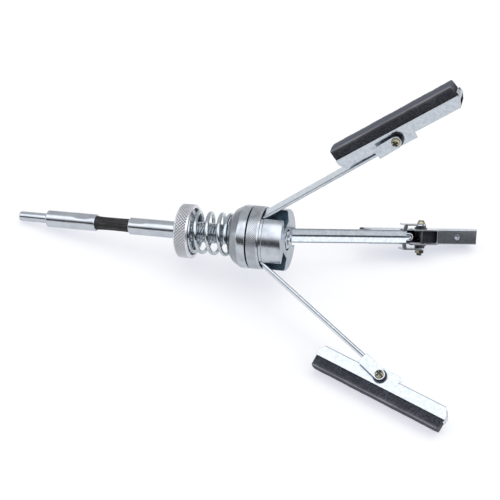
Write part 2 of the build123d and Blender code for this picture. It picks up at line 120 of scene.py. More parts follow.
@dataclass(frozen=True)
class Place:
    """A local frame: an origin in metres and three axes as columns."""

    origin: Array
    axes: Array

    def put(self, points: Array) -> Array:
        """Local millimetres to the row frame's metres.

        Args:
            points: an array whose last axis is x, y, z in this frame.

        Returns:
            The points in the row frame, in metres.
        """
        return self.origin + points @ self.axes.T * MM

    def local(self, points: Array) -> Array:
        """The row frame's metres back to local millimetres."""
        return (points - self.origin) @ self.axes / MM


def tool_place(nut_x: float) -> Place:
    """The tool frame, read from the nut's joint and the upper arm's pivot.

    Args:
        nut_x: station of the nut's rear face, where its joint is.

    Returns:
        The place whose origin is the shank tip.
    """
    nut = joint("nut_turn")
    along = unit(np.array(nut["axis"], float))
    across = unit(-np.array(joint("upper_arm_pivot")["axis"], float))
    outward = np.cross(along, across)
    origin = np.array(nut["pos_m"], float) - along * nut_x * MM
    return Place(origin, np.stack([along, across, outward], axis=1))


def pin_place(leg: Leg, swivelled: bool) -> Place:
    """The frame at a leg's swivel pin: s along the piece, w across, h outward.

    Args:
        leg: the leg.
        swivelled: True for the holder's direction, False for the arm's.

    Returns:
        The place at the pin.
    """
    pivot, swivel = joint(leg.value + "_arm_pivot"), joint(leg.value + "_swivel")
    pin = np.array(swivel["pos_m"], float)
    across = unit(-np.array(pivot["axis"], float))
    along = unit(pin - np.array(pivot["pos_m"], float))
    if swivelled:
        axis = np.array(swivel["axis"], float)
        turn = math.radians(STOP_ANGLE - swivel["range_deg"][0])
        along = along * math.cos(turn) + np.cross(axis, along) * math.sin(turn)
    return Place(pin, np.stack([along, across, np.cross(along, across)], axis=1))


# Mesh surfaces

def read(items: bpy_prop_collection, key: str, width: int = 1, kind: type = np.float32) -> Array:
    """One value of every vertex, edge, loop or face.

    Args:
        items: the mesh's vertices, edges, loops or polygons.
        key: the value's name.
        width: how many numbers it has.
        kind: their type.

    Returns:
        The values as an array, one item a row where each has more than one number.
    """
    values = np.empty(len(items) * width, kind)
    items.foreach_get(key, values)
    return values.reshape(-1, width) if width > 1 else values


def mark(mesh: Mesh, name: str, values: Array, domain: str = "POINT") -> None:
    """Adds a named number to each point or edge of a mesh."""
    layer = mesh.attributes.new(name, "FLOAT", domain)
    layer.data.foreach_set("value", np.asarray(values, np.float32).ravel())


def reshape(mesh: Mesh, place: Place, at: Array) -> None:
    """Moves a mesh's vertices to points in a place's millimetres."""
    mesh.vertices.foreach_set("co", place.put(at).astype(np.float32).ravel())
    mesh.update()


def linked(name: str, data: ID) -> Object:
    """A new object in the scene.

    Args:
        name: its name.
        data: its mesh, camera or lamp.

    Returns:
        The object, at the origin and unturned.
    """
    thing = bpy.data.objects.new(name, data)
    bpy.context.scene.collection.objects.link(thing)
    return thing


def grid_quads(rows: int, columns: int) -> Array:
    """Quads that join a grid of points, row by row, the last column with the first.

    Args:
        rows: number of rows of points.
        columns: number of points in each row.

    Returns:
        An array of four indices a face.
    """
    i, j = np.meshgrid(np.arange(rows - 1), np.arange(columns), indexing="ij")
    near, far, k = i * columns, (i + 1) * columns, (j + 1) % columns
    return np.stack([near + j, near + k, far + k, far + j], -1).reshape(-1, 4)


def fan(centre: int, start: int, count: int, outward: bool) -> list[list[int]]:
    """Triangles from a centre point to a ring of points.

    Args:
        centre: index of the centre.
        start: index of the ring's first point.
        count: points in the ring.
        outward: which way round they run.

    Returns:
        The triangles as lists of indices.
    """
    k = np.arange(count)
    n = (k + 1) % count
    pair = (n, k) if outward else (k, n)
    return np.stack([np.full(count, centre), start + pair[0], start + pair[1]], 1).tolist()


def capped(points: Array, poles: Array, rows: int, flip: bool) -> tuple[Array, list[list[int]]]:
    """Closes a tube of points at both ends.

    Args:
        points: the tube's points, row by row.
        poles: the two points in the middle of its ends.
        rows: number of rows.
        flip: True where the points run the other way round.

    Returns:
        All the points, the poles last, and the faces.
    """
    count = len(points)
    columns = count // rows
    quads = grid_quads(rows, columns)
    faces = (quads[:, ::-1] if flip else quads).tolist() + fan(count, 0, columns, not flip)
    faces += fan(count + 1, count - columns, columns, flip)
    return np.vstack([points, poles]), faces


def new_piece(name: str, points: Array, faces: Sequence[Sequence[int]],
              material: Material, sharp_deg: float = 35.0,
              marks: dict[str, Array] | None = None) -> Object:
    """A mesh object from points in metres and faces, shaded smooth up to an angle.

    Args:
        name: the piece's name.
        points: the vertices.
        faces: vertex indices, face by face.
        material: its finish.
        sharp_deg: edges that bend more than this stay sharp.
        marks: named values for each vertex, which the finish reads.

    Returns:
        The new object, already in the scene.
    """
    mesh = bpy.data.meshes.new(name)
    mesh.from_pydata(points.tolist(), [], faces)
    mesh.update()
    mesh.shade_smooth()
    mesh.set_sharp_from_angle(angle=math.radians(sharp_deg))
    for key, values in (marks or {}).items():
        mark(mesh, key, values)
    mesh.materials.append(material)
    LOG.info("%s: %d faces", name, len(faces))
    return linked(name, mesh)


def turned_piece(name: str, profile: Line, place: Place, material: Material,
                 segments: int, relief: Relief | None = None, shade: Relief | None = None,
                 sharp_deg: float = 35.0) -> Object:
    """A closed solid turned about x; a profile that ends on the axis gets a pole there.

    Args:
        name: the piece's name.
        profile: stations and radii round the section; a ring's section is closed.
        place: the frame whose x is the turning axis.
        material: its finish.
        segments: points round the axis.
        relief: gives a radius change from station, radius and angle.
        shade: gives the finish's mark, 0 clean to 1 dark, from the same three.
        sharp_deg: edges that bend more than this stay sharp.

    Returns:
        The new object. A point is (x, r sin a, r cos a), r being the profile's plus the relief.
    """
    rows = np.array(profile, float)
    ring = rows[0, 1] > 0 and rows[-1, 1] > 0
    body = rows if ring else rows[rows[:, 1] > 0]
    x = np.repeat(body[:, :1], segments, axis=1)
    r = np.repeat(body[:, 1:2], segments, axis=1)
    angle = np.linspace(0, 2 * math.pi, segments, endpoint=False)
    turn = np.repeat(angle[None, :], len(body), axis=0)
    marks = (shade(x, r, turn) if shade is not None else np.zeros(x.shape)).ravel()
    raised = r + relief(x, r, turn) if relief is not None else r
    section = np.stack([x, raised * np.sin(turn), raised * np.cos(turn)], axis=-1)
    points = place.put(section).reshape(-1, 3)
    if ring:
        faces = (grid_quads(len(body) + 1, segments) % len(points)).tolist()
    else:
        poles = place.put(np.array([[rows[0, 0], 0, 0], [rows[-1, 0], 0, 0]], float))
        points, faces = capped(points, poles, len(body), False)
        marks = np.append(marks, [marks[0], marks[-1]])
    return new_piece(name, points, faces, material, sharp_deg, {"shade": marks})


def merged(node: str, name: str, dissolve: bool) -> Mesh:
    """A CAD node's mesh with its doubled points merged.

    Args:
        node: the CAD node.
        name: the new mesh's name.
        dissolve: True where flat faces are joined as well.

    Returns:
        The new mesh, with no finish yet.
    """
    source = frame["nodes"][node]
    work = bmesh.new()
    work.from_mesh(source.data)
    work.transform(source.matrix_world)
    bmesh.ops.remove_doubles(work, verts=work.verts, dist=2e-6)
    if dissolve:
        bmesh.ops.dissolve_limit(work, angle_limit=math.radians(0.4),
                                 verts=work.verts, edges=work.edges)
    mesh = bpy.data.meshes.new(name)
    work.to_mesh(mesh)
    work.free()
    if "custom_normal" in mesh.attributes:
        mesh.attributes.remove(mesh.attributes["custom_normal"])
    mesh.materials.clear()
    mesh.shade_smooth()
    return mesh


def broken_edges(piece: Object, width: float, method: str, finish: int) -> None:
    """Breaks a piece's sharp edges with a small round.

    Args:
        piece: the piece.
        width: how far back the round starts, in millimetres.
        method: the Bevel modifier's way to pick edges.
        finish: the round's finish number, or -1 for its faces' own.
    """
    edge = piece.modifiers.new("broken_edges", "BEVEL")
    edge.width, edge.segments, edge.material = width * MM, 2, finish
    edge.limit_method, edge.angle_limit = method, math.radians(32)
    edge.use_clamp_overlap, edge.harden_normals = False, True


def softened(node: str, name: str, width: float, materials: Sequence[Material],
             choose: Callable[[Array, Array], Array] | None = None, finish: int = -1) -> Object:
    """A merged copy of a CAD node whose sharp edges are broken by a small round.

    Args:
        node: the CAD node.
        name: the piece's name.
        width: how far back the round starts, in millimetres.
        materials: its finishes.
        choose: gives each face's finish number from the faces' centres and normals.
        finish: the rounded edges' finish number, or -1 for their faces' own.

    Returns:
        The new object.
    """
    mesh = merged(node, name, True)
    for material in materials:
        mesh.materials.append(material)
    index = np.zeros(len(mesh.polygons))
    if choose is not None:
        index = choose(read(mesh.polygons, "center", 3), read(mesh.polygons, "normal", 3))
    mesh.polygons.foreach_set("material_index", index.astype(np.int32))
    piece = linked(name, mesh)
    broken_edges(piece, width, "ANGLE", finish)
    LOG.info("%s: %d faces", name, len(index))
    return piece


def rounded(points: Line, radius: float, steps: int = 4) -> list[Pair]:
    """A polyline whose inner corners are rounded with short arcs.

    Args:
        points: the polyline.
        radius: how far from a corner its rounding starts, at most.
        steps: points on each arc.

    Returns:
        The rounded polyline: each corner becomes a quadratic curve.
    """
    out = [points[0]]
    for before, at, after in zip(points[:-2], points[1:-1], points[2:]):
        a, b, c = (np.array(p, float) for p in (before, at, after))
        r = min(radius, np.linalg.norm(a - b) * 0.45, np.linalg.norm(c - b) * 0.45)
        p, q = b + unit(a - b) * r, b + unit(c - b) * r
        for t in np.linspace(0, 1, steps + 1):
            out.append(tuple((1 - t) ** 2 * p + 2 * t * (1 - t) * b + t ** 2 * q))
    out.append(points[-1])
    return out


def divided(points: Line, step: float) -> list[Pair]:
    """A polyline with its runs divided, for a relief to show on.

    Args:
        points: the polyline.
        step: the longest run that stays whole.

    Returns:
        The polyline, each run in equal steps.
    """
    out = [points[0]]
    for a, b in zip(points[:-1], points[1:]):
        n = max(1, math.ceil(math.dist(a, b) / step))
        out += [(a[0] + (b[0] - a[0]) * k / n, a[1] + (b[1] - a[1]) * k / n)
                for k in range(1, n + 1)]
    return out


def tube_piece(name: str, path: Array, normal: Array, radius: float,
               material: Material, sides: int) -> Object:
    """A round wire along a path, closed at both ends.

    Args:
        name: the piece's name.
        path: points in metres, one a row.
        normal: a direction across the path at each point.
        radius: the wire's radius, in metres.
        material: its finish.
        sides: points round the wire.

    Returns:
        The new object. A point is path + radius * (cos * normal + sin * binormal).
    """
    tangent = np.gradient(path, axis=0)
    tangent /= np.linalg.norm(tangent, axis=1, keepdims=True)
    binormal = np.cross(tangent, normal)
    binormal /= np.linalg.norm(binormal, axis=1, keepdims=True)
    turn = np.linspace(0, 2 * math.pi, sides, endpoint=False)
    ring = (np.cos(turn)[None, :, None] * np.cross(binormal, tangent)[:, None, :]
            + np.sin(turn)[None, :, None] * binormal[:, None, :])
    wall = (path[:, None, :] + ring * radius).reshape(-1, 3)
    points, faces = capped(wall, path[[0, -1]], len(path), True)
    return new_piece(name, points, faces, material, 60.0)


# Finishes

RGBA = {"data_type": "RGBA"}


def linear(hex_colour: str) -> Quad:
    """An sRGB hex colour as linear values.

    Args:
        hex_colour: the colour, as #RRGGBB.

    Returns:
        Red, green, blue and an alpha of 1. A part is divided by 12.92 near black, and else has
        its offset of 0.055 taken out and is raised to 2.4.
    """
    parts = [int(hex_colour[i:i + 2], 16) / 255 for i in (1, 3, 5)]
    flat = [c / 12.92 if c <= 0.04045 else ((c + 0.055) / 1.055) ** 2.4 for c in parts]
    return (flat[0], flat[1], flat[2], 1.0)


def per_metre(size_mm: float) -> float:
    """A texture's scale from the size of its features in millimetres."""
    return 1 / (size_mm * MM)


def add(tree: NodeTree, kind: str, settings: dict | None = None, **inputs: object) -> Node:
    """One node with its settings, socket values and links.

    Args:
        tree: the node tree.
        kind: the node's type name, less its first word.
        settings: attributes of the node.
        inputs: socket name or i_NUMBER to a value, an output socket, or a node whose first
            output it links from.

    Returns:
        The new node.
    """
    node = tree.nodes.new("ShaderNode" + kind)
    for key, value in (settings or {}).items():
        setattr(node, key, value)
    for key, value in inputs.items():
        number = key.startswith("i_")
        socket = node.inputs[int(key[2:]) if number else key.replace("_", " ")]
        if isinstance(value, (Node, NodeSocket)):
            tree.links.new(value.outputs[0] if isinstance(value, Node) else value, socket)
        else:
            socket.default_value = value
    return node


@dataclass(frozen=True)
class Finish:
    """What every finish has: its look and a base colour."""

    look: Look
    colour: str

    def start(self) -> tuple[Material, NodeTree, NodeSocket]:
        """Starts the material.

        Returns:
            A new material, its empty tree, and the coordinates that its patterns lie in.
        """
        material = bpy.data.materials.new(self.look.value)
        material.use_nodes = True
        tree = material.node_tree
        tree.nodes.clear()
        return material, tree, add(tree, "TexCoord").outputs["Object"]

    def close(self, tree: NodeTree, shader: Node) -> None:
        """Links the shader to the material's output."""
        add(tree, "OutputMaterial", Surface=shader)


@dataclass(frozen=True)
class Steel(Finish):
    """Plated steel: a clouded colour, darkened by painted shade where the piece's shade mark says
    so.
    """

    cloud: str
    # the colour that the painted shade darkens towards
    painted_shade_colour: str = "#343A40"
    roughness: float = 0.2
    smoother: float = 0.04
    rougher: float = 0.06

    def clad(self, tree: NodeTree, patches: Node, span: Pair, fine: Node, bump: Node) -> None:
        """Adds the colours, the roughness and the shader.

        Args:
            tree: the material's tree.
            patches: the noise that the cloud follows.
            span: where in the noise the cloud starts and is full.
            fine: the noise that the roughness follows.
            bump: the node that gives the normals.
        """
        patch = add(tree, "MapRange", i_0=patches, i_1=span[0], i_2=span[1])
        tint = add(tree, "Mix", RGBA, i_0=patch, i_6=linear(self.colour), i_7=linear(self.cloud))
        # painted shade: the shade mark mixes the colour towards the painted shade's colour
        shade = add(tree, "Attribute", {"attribute_name": "shade"})
        wear_and_painted_light = add(tree, "Mix", RGBA, i_0=shade.outputs["Fac"],
                   i_6=tint.outputs[2], i_7=linear(self.painted_shade_colour))
        rough = add(tree, "MapRange", i_0=fine, i_1=0.3, i_2=0.7,
                    i_3=self.roughness - self.smoother, i_4=self.roughness + self.rougher)
        self.close(tree, add(tree, "BsdfPrincipled", Base_Color=wear_and_painted_light.outputs[2],
                             Metallic=1.0, Roughness=rough, Normal=bump))


@dataclass(frozen=True)
class PlatedSteel(Steel):
    """Zinc-plated sheet and wire: bright, a faint blue cloud, slightly wavy, finely scratched."""

    smoother: float = 0.05
    rougher: float = 0.07
    cloud_mm: float = 7.0
    wave_mm: float = 14.0
    wave_depth_mm: float = 0.0
    scratch_mm: float = 0.5
    scratch_depth_mm: float = 0.01

    def make(self) -> Material:
        """Builds the material.

        Returns:
            The material.
        """
        material, tree, coords = self.start()
        cloud = add(tree, "TexNoise", Vector=coords, Scale=per_metre(self.cloud_mm), Detail=4.0)
        grain = add(tree, "TexNoise", Vector=coords, Scale=per_metre(self.scratch_mm), Detail=3.0)
        wave = add(tree, "TexNoise", Vector=coords, Scale=per_metre(self.wave_mm), Detail=1.0)
        slow = add(tree, "Bump", Strength=1.0, Distance=self.wave_depth_mm * MM, Height=wave)
        bump = add(tree, "Bump", Strength=0.3, Distance=self.scratch_depth_mm * MM,
                   Height=grain, Normal=slow)
        self.clad(tree, cloud, (0.38, 0.66), grain, bump)
        return material


@dataclass(frozen=True)
class TurnedSteel(Steel):
    """Steel turned on a lathe and plated: fine rings round the axis, and painted shade in a knurl's
    grooves.
    """

    axis: Triple = (1.0, 0.0, 0.0)
    cloud_mm: float = 25 / 3
    ring_mm: float = 0.3
    ring_depth_mm: float = 0.006
    strength: float = 0.3

    def make(self) -> Material:
        """Builds the material.

        Returns:
            The material.
        """
        material, tree, coords = self.start()
        along = add(tree, "VectorMath", {"operation": "DOT_PRODUCT"}, i_0=coords, i_1=self.axis)
        rings = add(tree, "TexNoise", {"noise_dimensions": "1D"},
                    W=along.outputs["Value"], Scale=per_metre(self.ring_mm), Detail=3.0,
                    Roughness=0.7)
        cloud = add(tree, "TexNoise", Vector=coords, Scale=per_metre(self.cloud_mm), Detail=3.0)
        bump = add(tree, "Bump", Strength=self.strength,
                   Distance=self.ring_depth_mm * MM, Height=rings)
        self.clad(tree, cloud, (0.4, 0.7), rings, bump)
        return material


@dataclass(frozen=True)
class RubberSleeve(Finish):
    """Black braided sleeve over a wound cable: matt, with paler streaks drawn out lengthwise."""

    axis: Triple
    wear_and_painted_light: str = "#4C4C52"
    streak_mm: float = 25 / 12
    shortened: float = 0.12
    depth_mm: float = 0.3

    def make(self) -> Material:
        """Builds the material. Its noise is drawn out lengthwise, by shortening that direction.

        Returns:
            The material.
        """
        material, tree, coords = self.start()
        along = add(tree, "VectorMath", {"operation": "DOT_PRODUCT"}, i_0=coords, i_1=self.axis)
        back = add(tree, "VectorMath", {"operation": "SCALE"}, i_0=self.axis,
                   Scale=along.outputs["Value"])
        across = add(tree, "VectorMath", {"operation": "SUBTRACT"}, i_0=coords, i_1=back)
        slow = add(tree, "VectorMath", {"operation": "SCALE"}, i_0=back, Scale=self.shortened)
        drawn = add(tree, "VectorMath", {"operation": "ADD"}, i_0=across, i_1=slow)
        streak = add(tree, "TexNoise", Vector=drawn,
                     Scale=per_metre(self.streak_mm), Detail=4.0, Roughness=0.7)
        ramp = add(tree, "MapRange", i_0=streak, i_1=0.5, i_2=0.68)
        tint = add(tree, "Mix", RGBA, i_0=ramp, i_6=linear(self.colour), i_7=linear(self.wear_and_painted_light))
        bump = add(tree, "Bump", Strength=0.6, Distance=self.depth_mm * MM, Height=streak)
        self.close(tree, add(tree, "BsdfPrincipled", Base_Color=tint.outputs[2],
                             Metallic=0.0, Roughness=0.6, Normal=bump))
        return material


@dataclass(frozen=True)
class Abrasive(Finish):
    """Vitrified abrasive: dark grey grains with open pores, paler on its edges from wear, and on
    its working face partly from dust and partly by a painted sheen.
    """

    grain: str = "#5C606A"
    # the working face: partly its dust, partly a painted sheen
    face: str = "#515560"
    edge: str = "#C6C9D2"
    grit_mm: float = 1.5  # coarser than the real grit, so that it shows
    cloud_mm: float = 100 / 9
    depth_mm: float = 0.4

    def make(self) -> Material:
        """Builds the material.

        Returns:
            The material.
        """
        material, tree, coords = self.start()
        grit = add(tree, "TexNoise", Vector=coords, Scale=per_metre(self.grit_mm),
                   Detail=2.0, Roughness=0.8)
        cloud = add(tree, "TexNoise", Vector=coords, Scale=per_metre(self.cloud_mm), Detail=3.0)
        spread = add(tree, "MapRange", i_0=grit, i_1=0.35, i_2=0.75)
        both = add(tree, "Math", {"operation": "MULTIPLY"}, i_0=spread, i_1=cloud)
        body = add(tree, "Mix", RGBA, i_0=both, i_6=linear(self.colour), i_7=linear(self.grain))
        worked_face_and_sheen = add(tree, "Attribute", {"attribute_name": "worked_face_and_sheen"})
        face = add(tree, "Mix", RGBA, i_0=worked_face_and_sheen.outputs["Fac"],
                   i_6=body.outputs[2], i_7=linear(self.face))
        wear_and_painted_light = add(tree, "Attribute", {"attribute_name": "wear_and_painted_light"})
        patchy = add(tree, "Math", {"operation": "MULTIPLY"}, i_0=wear_and_painted_light.outputs["Fac"], i_1=cloud)
        tint = add(tree, "Mix", RGBA, i_0=patchy, i_6=face.outputs[2], i_7=linear(self.edge))
        bump = add(tree, "Bump", Strength=0.8, Distance=self.depth_mm * MM, Height=grit)
        self.close(tree, add(tree, "BsdfPrincipled", Base_Color=tint.outputs[2],
                             Metallic=0.0, Roughness=0.7, Specular_IOR_Level=0.3, Normal=bump))
        return material


def finishes(axis: Triple) -> list[Finish]:
    """The finishes, each matched to the object.

    Args:
        axis: the direction of the spindle, which turned pieces have their rings round.

    Returns:
        The finishes, one for each look.
    """
    return [
        # rolled sheet: bright, finely clouded, and wavy enough to break up what it mirrors
        PlatedSteel(Look.SHEET, "#C5CCD3", "#B4BCC4", roughness=0.18, cloud_mm=2.4,
                    wave_depth_mm=0.12),
        # drawn bar and turned steel: fine rings that draw the highlights out round the axis
        TurnedSteel(Look.BAR, "#C0C5CB", "#B2B9C2", roughness=0.19, axis=axis, strength=0.2),
        TurnedSteel(Look.TURNED, "#C0C5CB", "#A5ACB5", axis=axis),
        # nickel on a knurl: pale peaks, and the grooves darkened by painted shade
        TurnedSteel(Look.KNURLED, "#E4E6EB", "#D0D2D8", "#22252A", 0.3, axis=axis),
        # a face cut across, darker by painted shade for what it mirrors low in front
        TurnedSteel(Look.FACED, "#A0A9AF", "#8B949D", axis=axis),
        # the slots' walls: darker, bluer and duller, a painted shade
        TurnedSteel(Look.OILED, "#8CA4B4", "#566E7E", roughness=0.38, axis=axis),
        # hard-drawn wire: the smoothest of the plated pieces
        PlatedSteel(Look.WIRE, "#C0C6CA", "#A8B4BA", roughness=0.12),
        # yellow chromate over zinc: a thin brownish sheen
        PlatedSteel(Look.YELLOW, "#A9A690", "#87836E", roughness=0.15),
        # dark grey and matt: the washers, and painted shade on each screw's shank between the walls
        # and in its cross recess
        PlatedSteel(Look.DARK, "#5A5C60", "#3C3E44", roughness=0.35),
        # the sheet's rounded edges and bends: paler and duller than the sheet, a painted highlight
        # along them
        PlatedSteel(Look.SHEARED, "#DADDE0", "#C4C8CC", roughness=0.36),
        # near black, so that only the paler streaks and the ribs read
        RubberSleeve(Look.SLEEVE, "#08080A", axis),
        # silicon carbide grains: blue-black, with pale edges where they are broken
        Abrasive(Look.STONE, "#181C25"),
    ]


def dress(node: str, material: Material) -> None:
    """Gives a CAD node that keeps its shape its finish.

    Args:
        node: the CAD node.
        material: its finish.
    """
    data = frame["nodes"][node].data
    data.materials.clear()
    data.materials.append(material)


def stand_for(piece: Object, body: str, node: str) -> None:
    """Rides a piece on its body, in the place of its CAD node, and reports it.

    Args:
        piece: the piece.
        body: the body it moves with.
        node: the CAD node it stands for.
    """
    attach(piece, body)
    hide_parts(node)
    LOG.info("%s rides on %s", piece.name, body)


# Reliefs

def tri(phase: Array) -> Array:
    """A triangle wave of period one: 0 at whole numbers, 1 half way between."""
    return 1 - np.abs(2 * (phase - np.floor(phase)) - 1)


@dataclass(frozen=True)
class Swage:
    """A swaged joint: four shallow flats that run out at both ends."""

    at: float
    length: float
    depth: float
    phase: float = 0.9

    def relief(self, x: Array, r: Array, turn: Array) -> Array:
        """The radius change: a squared wave of four turns, which fades along x."""
        fade = np.exp(-np.abs((x - self.at) / self.length) ** 4)
        return -self.depth * fade * (0.5 + 0.5 * np.cos(4 * turn + self.phase)) ** 2


@dataclass(frozen=True)
class Knurl:
    """A diamond knurl on a rim: two crossed families of grooves."""

    pitch: float
    radius: float
    depth: float
    x0: float
    x1: float
    darkness: float
    steepness: float = 2.2
    run_out: float = 0.4

    def groove(self, x: Array, r: Array, turn: Array) -> Array:
        """How deep in a groove a point is: 0 on the peaks and off the rim, 1 in the bottom.

        Args:
            x: stations.
            r: the profile's radii there.
            turn: angles.

        Returns:
            The lower of two triangle waves that run either way round, turned over.
        """
        count = round(2 * math.pi * self.radius / self.pitch)
        run = turn * count / (2 * math.pi)
        low = np.minimum(tri(run + x / self.pitch), tri(run - x / self.pitch))
        inside = np.clip(np.minimum(x - self.x0, self.x1 - x) / self.run_out, 0, 1)
        deep = (1 - np.minimum(low * self.steepness, 1.0)) * inside
        return np.where(r > self.radius - 0.001, deep, 0)

    def relief(self, x: Array, r: Array, turn: Array) -> Array:
        """The radius change."""
        return -self.depth * self.groove(x, r, turn)

    def shade(self, x: Array, r: Array, turn: Array) -> Array:
        """Painted shade in the grooves."""
        return self.darkness * self.groove(x, r, turn)


# Pieces

@dataclass
class DriveEnd:
    """Shank, ferrule, black sleeve and the spindle."""

    tool: Place
    looks: Looks
    shank_r: float = 3.97
    shank_end: float = 24.5
    tip_bevel: float = 1.1
    shank_root: float = 3.3
    socket: float = 14.0  # how deep the shank and the cable go in
    shank_bore: float = 3.4
    cable_bore: float = 3.5
    ferrule_r: float = 6.75
    ferrule_end: float = 67.5
    ferrule_bevel: float = 1.3
    ferrule_lip: float = 0.5
    ferrule_swage: Swage = Swage(56.0, 6.0, 0.6)
    sleeve_bore: float = 3.45
    sleeve_r: float = 5.05
    sleeve_gap: float = 0.05
    sleeve_flare: float = 0.5
    flare_run: float = 3.0
    strands: tuple[Triple, ...] = ((0.08, 14, 0.035), (0.07, 5, -0.11))
    rod_start: float = 95.0
    rod_r: float = 6.7
    rod_bevel: float = 1.4
    rod_swage: Swage = Swage(102.0, 7.0, 0.5)
    rod_end: float = 141.0
    thread_r: float = 8.0
    thread_lead: Pair = (0.8, 7.2)
    thread_pitch: float = 2.0
    thread_clear: Pair = (0.9, 0.5)
    thread_run_out: float = 0.6
    # painted shade in the thread's groove
    thread_shade: float = 0.14
    thread_end: float = 205.4
    stud_r: float = 4.0
    stud_end: float = 226.3
    stud_bevel: float = 0.6
    centre_r: float = 1.6
    centre_depth: float = 4.0

    def shank(self) -> Object:
        """The bar with its broken tip edge.

        Returns:
            The bar, turned, with its thinner root inside the ferrule.
        """
        r, bevel, end, root = self.shank_r, self.tip_bevel, self.shank_end, self.shank_root
        inner = end + self.socket
        profile = rounded([(0, 0), (0, r - bevel), (bevel, r), (end, r), (end, root),
                           (inner, root), (inner, 0)], 0.7)
        return turned_piece("drive_shank_bar", profile, self.tool, self.looks[Look.BAR], 64)

    def ferrule(self) -> Object:
        """The long ferrule.

        Returns:
            The tube, turned, with a broken left edge, a lip on the right and a swaged middle.
        """
        x0, x1, r = self.shank_end, self.ferrule_end, self.ferrule_r
        bevel, lip = self.ferrule_bevel, self.ferrule_lip
        outer = rounded([(x0, self.shank_bore), (x0, r - bevel), (x0 + bevel, r), (x1 - lip, r),
                         (x1, r - lip), (x1, self.cable_bore)], 0.4)
        inner = [(x1 - self.socket, self.cable_bore), (x0 + self.socket, self.shank_bore)]
        return turned_piece("drive_ferrule_tube", divided(outer, 0.6) + inner, self.tool,
                            self.looks[Look.BAR], 96, self.ferrule_swage.relief)

    def ribs(self, x: Array, r: Array, turn: Array) -> Array:
        """The radius change of the sleeve's outside.

        Args:
            x: stations.
            r: the profile's radii there.
            turn: angles.

        Returns:
            A flare that falls off exponentially from each end, and two low waves round the
            sleeve, each with its own count and twist, for the strands below.
        """
        x0, x1 = self.ferrule_end + self.sleeve_gap, self.rod_start - self.sleeve_gap
        near, far = np.exp((x0 - x) / self.flare_run), np.exp((x - x1) / self.flare_run)
        strands = sum(height * np.cos(count * turn + twist * x)
                      for height, count, twist in self.strands)
        return np.where(r > 4, self.sleeve_flare * (near + 0.5 * far) + strands, 0)

    def sleeve(self) -> Object:
        """The black sleeve.

        Returns:
            The tube, turned, flared at its ends and ribbed lengthwise where the strands show.
        """
        x0, x1 = self.ferrule_end + self.sleeve_gap, self.rod_start - self.sleeve_gap
        profile = divided([(x0, self.sleeve_bore), (x0, self.sleeve_r), (x1, self.sleeve_r),
                           (x1, self.sleeve_bore)], 0.8)
        return turned_piece("flexible_sleeve", profile, self.tool, self.looks[Look.SLEEVE], 112,
                            self.ribs)

    def groove(self, x: Array, turn: Array) -> Array:
        """How deep in the V thread a point is.

        Args:
            x: stations.
            turn: angles.

        Returns:
            A triangle wave that goes once round in a pitch and runs out at both ends.
        """
        room = np.minimum(x - self.rod_end - self.thread_clear[0],
                          self.thread_end - self.thread_clear[1] - x)
        wave = 1 - tri(x / self.thread_pitch - turn / (2 * math.pi))
        return wave * np.clip(room / self.thread_run_out, 0, 1)

    def spindle_relief(self, x: Array, r: Array, turn: Array) -> Array:
        """The spindle's radius change: the swage on the rod, and the thread, 1 mm deep."""
        return self.rod_swage.relief(x, r, turn) - self.groove(x, turn)

    def spindle_shade(self, x: Array, r: Array, turn: Array) -> Array:
        """Painted shade in the thread's groove."""
        return self.thread_shade * self.groove(x, turn)

    def spindle(self) -> Object:
        """Rod, V thread and stud in one.

        Returns:
            The bar, turned: a bored and bevelled rod, the thread, and a stud with a centre hole.
        """
        x0, x1, x2, x3 = self.rod_start, self.rod_end, self.thread_end, self.stud_end
        r, bore, bevel, inner = self.rod_r, self.cable_bore, self.rod_bevel, x0 + self.socket
        run, low = self.thread_lead
        end, hole, centre = self.stud_bevel, self.centre_r, self.centre_depth
        rod = rounded([(x0, bore), (x0, r - bevel), (x0 + bevel, r), (x1, r)], 0.4)
        thread = divided([(x1, low), (x1 + run, self.thread_r), (x2, self.thread_r)], 0.2)
        stud = [(x2, self.stud_r), (x3 - end, self.stud_r), (x3, self.stud_r - end), (x3, hole),
                (x3 - centre, hole), (x3 - centre - end, 0)]
        profile = [(inner, 0), (inner, bore)] + divided(rod, 0.6) + thread + stud
        return turned_piece("spindle_bar", profile, self.tool, self.looks[Look.BAR], 112,
                            self.spindle_relief, self.spindle_shade, 28.0)

    def build(self) -> None:
        """Builds and rides the pieces."""
        stand_for(self.shank(), RIDE_CORE, "drive_shank")
        stand_for(self.ferrule(), RIDE_CORE, "drive_ferrule")
        stand_for(self.sleeve(), RIDE_CORE, "cable_sleeve")
        stand_for(self.spindle(), RIDE_CORE, "spindle")
        dress("flexible_cable", self.looks[Look.BAR])


